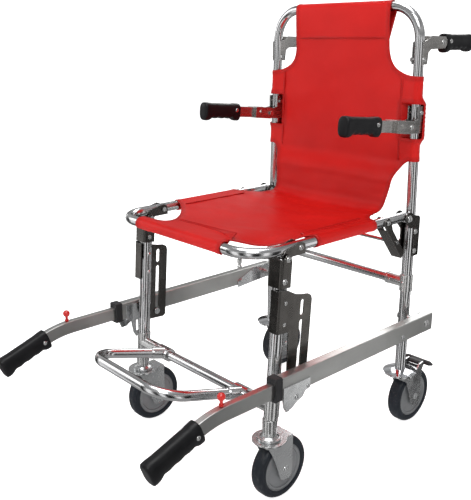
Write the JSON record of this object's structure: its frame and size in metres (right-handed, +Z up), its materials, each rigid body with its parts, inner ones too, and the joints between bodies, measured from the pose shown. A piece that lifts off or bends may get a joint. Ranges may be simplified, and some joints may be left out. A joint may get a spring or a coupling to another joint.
{
  "type": "stair chair",
  "caption": "Folding wheeled evacuation chair with a sling seat and back, swivel casters, folding footrest, folding lift handles and sliding lower carry handles.",
  "frame": {"origin": "floor level under the middle of the bounding box", "axes": "+Z up, -Y the way the sitter faces, +X the sitter's left"},
  "size_m": [0.5276, 0.9098, 0.9208],
  "materials": {
    "polished_tube": "polished",
    "dark_bracket": "satin, dark plated",
    "rail_aluminium": "satin anodised",
    "zinc": "zinc plated",
    "bolt_steel": "bright",
    "caster_chrome": "polished",
    "red_vinyl": "coated, semi gloss",
    "black_grip": "gloss",
    "black_moulding": "satin",
    "red_knob": "gloss",
    "tyre_rubber": "smooth",
    "hub_grey": "moulded",
    "brake_steel": "black"
  },
  "bodies": {
    "back_frame": {"rear_leg_left": "polished_tube", "rear_leg_right": "polished_tube", "back_tube": "polished_tube", "rear_hinge_brackets": "dark_bracket", "rear_crossbar": "polished_tube", "rear_tee_collars": "polished_tube", "upper_handle_brackets": "dark_bracket", "lower_handle_brackets": "dark_bracket", "frame_fasteners": "bolt_steel", "back_panel": "red_vinyl", "rear_caster_stems": "caster_chrome"},
    "seat": {"seat_tube": "polished_tube", "seat_panel": "red_vinyl", "front_hinge_saddles": "dark_bracket", "seat_fasteners": "bolt_steel"},
    "prop": {"prop_braces": "dark_bracket", "release_rod": "polished_tube"},
    "front_frame": {"front_leg_left": "polished_tube", "front_leg_right": "polished_tube", "front_hinge_channels": "dark_bracket", "slotted_plates": "dark_bracket", "front_leg_sockets": "polished_tube", "front_crossbar": "polished_tube", "front_leg_fasteners": "bolt_steel", "front_caster_stems": "zinc"},
    "footrest": {"footrest_loop": "polished_tube"},
    "rail_left": {"rail_tube_left": "rail_aluminium", "rail_fittings_left": "zinc", "rail_collar_left": "black_moulding"},
    "handle_left": {"handle_bar_left": "rail_aluminium", "handle_grip_left": "black_grip"},
    "knob_left": {"release_knob_left": "red_knob"},
    "lower_handle_left": {"lower_handle_tang_left": "dark_bracket", "lower_handle_grip_left": "black_grip"},
    "upper_handle_left": {"upper_handle_tang_left": "dark_bracket", "upper_handle_grip_left": "black_grip"},
    "rail_right": {"rail_tube_right": "rail_aluminium", "rail_fittings_right": "zinc", "rail_collar_right": "black_moulding"},
    "handle_right": {"handle_bar_right": "rail_aluminium", "handle_grip_right": "black_grip"},
    "knob_right": {"release_knob_right": "red_knob"},
    "lower_handle_right": {"lower_handle_tang_right": "dark_bracket", "lower_handle_grip_right": "black_grip"},
    "upper_handle_right": {"upper_handle_tang_right": "dark_bracket", "upper_handle_grip_right": "black_grip"},
    "caster_rear_left": {"caster_fork_rear_left": "zinc"},
    "wheel_rear_left": {"caster_tyre_rear_left": "tyre_rubber", "caster_hub_rear_left": "hub_grey"},
    "brake_left": {"brake_pedal_left": "brake_steel"},
    "caster_rear_right": {"caster_fork_rear_right": "zinc"},
    "wheel_rear_right": {"caster_tyre_rear_right": "tyre_rubber", "caster_hub_rear_right": "hub_grey"},
    "brake_right": {"brake_pedal_right": "brake_steel"},
    "caster_front_left": {"caster_fork_front_left": "zinc"},
    "wheel_front_left": {"caster_tyre_front_left": "tyre_rubber", "caster_hub_front_left": "hub_grey"},
    "caster_front_right": {"caster_fork_front_right": "zinc"},
    "wheel_front_right": {"caster_tyre_front_right": "tyre_rubber", "caster_hub_front_right": "hub_grey"}
  },
  "joints": [
    {"name": "seat_fold", "type": "hinge", "parent": "back_frame", "child": "seat", "pos_m": [0, 0.24888, 0.489], "axis": [-1, 0, 0], "range_deg": [0, 70]},
    {"name": "prop_release", "type": "hinge", "parent": "seat", "child": "prop", "pos_m": [0, 0.17788, 0.492], "axis": [-1, 0, 0], "range_deg": [0, 12], "stiffness_Nm_per_rad": 2, "springref_deg": -17.19},
    {"name": "front_leg_fold", "type": "hinge", "parent": "seat", "child": "front_frame", "pos_m": [0, -0.11512, 0.478], "axis": [-1, 0, 0], "range_deg": [-70, 0]},
    {"name": "footrest_fold", "type": "hinge", "parent": "front_frame", "child": "footrest", "pos_m": [0, -0.13582, 0.193], "axis": [-1, 0, 0], "range_deg": [0, 70]},
    {"name": "rail_fold_left", "type": "hinge", "parent": "back_frame", "child": "rail_left", "pos_m": [0.247, 0.27688, 0.262], "axis": [-1, 0, 0], "range_deg": [0, 70]},
    {"name": "handle_slide_left", "type": "slide", "parent": "rail_left", "child": "handle_left", "axis": [0, 1, 0], "range_m": [0, 0.085]},
    {"name": "knob_pull_left", "type": "slide", "parent": "handle_left", "child": "knob_left", "axis": [0, 0, 1], "range_m": [0, 0.006], "stiffness_N_per_m": 600, "springref_m": -0.003},
    {"name": "lower_handle_fold_left", "type": "hinge", "parent": "back_frame", "child": "lower_handle_left", "pos_m": [0.19735, 0.23888, 0.677], "axis": [-1, 0, 0], "range_deg": [0, 84]},
    {"name": "upper_handle_fold_left", "type": "hinge", "parent": "back_frame", "child": "upper_handle_left", "pos_m": [0.19436, 0.33788, 0.839], "axis": [-1, 0, 0], "range_deg": [0, 90]},
    {"name": "rail_fold_right", "type": "hinge", "parent": "back_frame", "child": "rail_right", "pos_m": [-0.247, 0.27688, 0.262], "axis": [-1, 0, 0], "range_deg": [0, 70]},
    {"name": "handle_slide_right", "type": "slide", "parent": "rail_right", "child": "handle_right", "axis": [0, 1, 0], "range_m": [0, 0.085]},
    {"name": "knob_pull_right", "type": "slide", "parent": "handle_right", "child": "knob_right", "axis": [0, 0, 1], "range_m": [0, 0.006], "stiffness_N_per_m": 600, "springref_m": -0.003},
    {"name": "lower_handle_fold_right", "type": "hinge", "parent": "back_frame", "child": "lower_handle_right", "pos_m": [-0.19735, 0.23888, 0.677], "axis": [-1, 0, 0], "range_deg": [0, 84]},
    {"name": "upper_handle_fold_right", "type": "hinge", "parent": "back_frame", "child": "upper_handle_right", "pos_m": [-0.19436, 0.33788, 0.839], "axis": [-1, 0, 0], "range_deg": [0, 90]},
    {"name": "swivel_rear_left", "type": "hinge", "parent": "back_frame", "child": "caster_rear_left", "pos_m": [0.202, 0.27288, 0.1295], "axis": [0, 0, 1], "continuous": true},
    {"name": "roll_rear_left", "type": "hinge", "parent": "caster_rear_left", "child": "wheel_rear_left", "pos_m": [0.202, 0.31288, 0.0625], "axis": [1, 0, 0], "continuous": true},
    {"name": "brake_left", "type": "hinge", "parent": "caster_rear_left", "child": "brake_left", "pos_m": [0.202, 0.33288, 0.136], "axis": [-1, 0, 0], "range_deg": [0, 14]},
    {"name": "swivel_rear_right", "type": "hinge", "parent": "back_frame", "child": "caster_rear_right", "pos_m": [-0.202, 0.27288, 0.1295], "axis": [0, 0, 1], "continuous": true},
    {"name": "roll_rear_right", "type": "hinge", "parent": "caster_rear_right", "child": "wheel_rear_right", "pos_m": [-0.202, 0.31288, 0.0625], "axis": [1, 0, 0], "continuous": true},
    {"name": "brake_right", "type": "hinge", "parent": "caster_rear_right", "child": "brake_right", "pos_m": [-0.202, 0.33288, 0.136], "axis": [-1, 0, 0], "range_deg": [0, 14]},
    {"name": "swivel_front_left", "type": "hinge", "parent": "front_frame", "child": "caster_front_left", "pos_m": [0.202, -0.14012, 0.1295], "axis": [0, 0, 1], "continuous": true},
    {"name": "roll_front_left", "type": "hinge", "parent": "caster_front_left", "child": "wheel_front_left", "pos_m": [0.202, -0.11412, 0.0625], "axis": [1, 0, 0], "continuous": true},
    {"name": "swivel_front_right", "type": "hinge", "parent": "front_frame", "child": "caster_front_right", "pos_m": [-0.202, -0.14012, 0.1295], "axis": [0, 0, 1], "continuous": true},
    {"name": "roll_front_right", "type": "hinge", "parent": "caster_front_right", "child": "wheel_front_right", "pos_m": [-0.202, -0.11412, 0.0625], "axis": [1, 0, 0], "continuous": true}
  ],
  "couplings": [
    {"joint": "front_leg_fold", "follows": "seat_fold", "ratio": -1},
    {"joint": "rail_fold_left", "follows": "seat_fold", "ratio": 1},
    {"joint": "lower_handle_fold_left", "follows": "seat_fold", "ratio": 1.2},
    {"joint": "rail_fold_right", "follows": "seat_fold", "ratio": 1},
    {"joint": "lower_handle_fold_right", "follows": "seat_fold", "ratio": 1.2}
  ]
}
